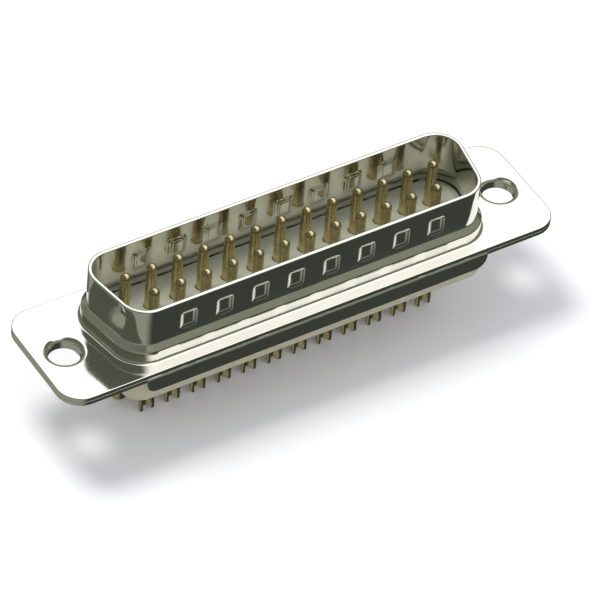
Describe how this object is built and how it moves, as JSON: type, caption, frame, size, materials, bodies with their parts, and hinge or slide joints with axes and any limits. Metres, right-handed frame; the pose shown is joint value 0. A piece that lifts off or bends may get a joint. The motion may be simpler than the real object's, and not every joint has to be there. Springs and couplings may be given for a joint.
{
  "type": "d-sub connector",
  "caption": "Two-row male D-subminiature connector with solder-cup contacts, a dimpled plated-steel shell and a flange with eyeletted mounting holes.",
  "frame": {"origin": "centre of the flange's front face, midway between the two mounting holes", "axes": "+X along the connector's length, +Y towards the wide side of the D (the row of thirteen contacts), +Z out of the mating side"},
  "size_m": [0.053, 0.0126, 0.0161],
  "materials": {
    "tin_plate": "bright",
    "face_insulator": "satin",
    "rear_insulator": "satin",
    "contact_gold": "polished"
  },
  "bodies": {
    "root": {"front_shell": "tin_plate", "rear_shell": "tin_plate", "front_insulator": "face_insulator", "rear_insulator": "rear_insulator", "contact_01": "contact_gold", "contact_02": "contact_gold", "contact_03": "contact_gold", "contact_04": "contact_gold", "contact_05": "contact_gold", "contact_06": "contact_gold", "contact_07": "contact_gold", "contact_08": "contact_gold", "contact_09": "contact_gold", "contact_10": "contact_gold", "contact_11": "contact_gold", "contact_12": "contact_gold", "contact_13": "contact_gold", "contact_14": "contact_gold", "contact_15": "contact_gold", "contact_16": "contact_gold", "contact_17": "contact_gold", "contact_18": "contact_gold", "contact_19": "contact_gold", "contact_20": "contact_gold", "contact_21": "contact_gold", "contact_22": "contact_gold", "contact_23": "contact_gold", "contact_24": "contact_gold", "contact_25": "contact_gold"}
  },
  "joints": []
}
